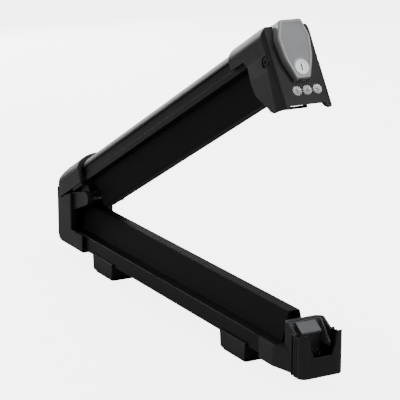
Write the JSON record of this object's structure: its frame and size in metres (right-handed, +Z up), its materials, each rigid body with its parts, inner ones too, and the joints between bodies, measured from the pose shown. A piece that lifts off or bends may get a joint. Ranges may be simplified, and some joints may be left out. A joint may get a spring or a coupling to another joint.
{
  "type": "roof ski rack",
  "caption": "Lockable roof ski carrier: an extruded base and a hinged upper arm, both lined with rubber, with a push-button latch head and sliding feet for cross bars.",
  "frame": {"origin": "midway between the two bar bolts, at the underside of the foot pads", "axes": "+X along the rack from the hinge to the latch, +Z up, Y across the rack"},
  "size_m": [0.6216, 0.0696, 0.392],
  "materials": {
    "black_anodised": "black anodised extrusion with fine drawing lines, satin",
    "black_rubber": "matte black EPDM extrusion",
    "charcoal_plastic": "moulded glass-filled nylon, fine texture",
    "bearing_plastic": "natural acetal",
    "silver_plastic": "satin silver painted plastic",
    "plated_steel": "zinc plated",
    "black_steel": "black oxide",
    "lock_metal": "satin chrome"
  },
  "bodies": {
    "base": {"base_rail": "black_anodised", "base_rubber": "black_rubber", "hinge_housing": "charcoal_plastic", "housing_screws": "plated_steel", "hinge_pin": "plated_steel", "hinge_clip": "plated_steel", "receiver": "charcoal_plastic", "receiver_screws": "plated_steel", "striker_plate": "plated_steel"},
    "arm": {"arm_rail": "black_anodised", "arm_rubber": "black_rubber", "hinge_cap": "charcoal_plastic", "cap_screws": "plated_steel", "hinge_bushes": "bearing_plastic", "latch_head": "charcoal_plastic", "head_screws": "plated_steel", "latch_pin": "black_steel", "latch_spring": "plated_steel"},
    "latch": {"latch_button": "silver_plastic", "button_panel": "silver_plastic", "latch_hook": "black_steel", "hook_screws": "plated_steel", "lock_housing": "lock_metal"},
    "lock": {"lock_plug": "lock_metal", "lock_cam": "plated_steel", "cam_nut": "plated_steel"},
    "rear_foot": {"rear_foot": "charcoal_plastic", "rear_foot_pad": "black_rubber", "rear_bar_nut": "plated_steel", "rear_slot_nut": "plated_steel", "rear_clamp_screws": "plated_steel"},
    "front_foot": {"front_foot": "charcoal_plastic", "front_foot_pad": "black_rubber", "front_bar_nut": "plated_steel", "front_slot_nut": "plated_steel", "front_clamp_screws": "plated_steel"}
  },
  "joints": [
    {"name": "arm_hinge", "type": "hinge", "parent": "base", "child": "arm", "pos_m": [-0.2269, 0, 0.0926], "axis": [0, 1, 0], "range_deg": [0, 27.5]},
    {"name": "latch_press", "type": "hinge", "parent": "arm", "child": "latch", "pos_m": [0.23922, 0, 0.34889], "axis": [0, -1, 0], "range_deg": [0, 5.5], "stiffness_Nm_per_rad": 1.2, "springref_deg": -5.73},
    {"name": "lock_turn", "type": "hinge", "parent": "latch", "child": "lock", "pos_m": [0.2413, 0, 0.3343], "axis": [0.887, 0, 0.4617], "range_deg": [0, 90]},
    {"name": "rear_foot_slide", "type": "slide", "parent": "base", "child": "rear_foot", "axis": [1, 0, 0], "range_m": [-0.028, 0.028]},
    {"name": "front_foot_slide", "type": "slide", "parent": "base", "child": "front_foot", "axis": [1, 0, 0], "range_m": [-0.028, 0.028]}
  ]
}
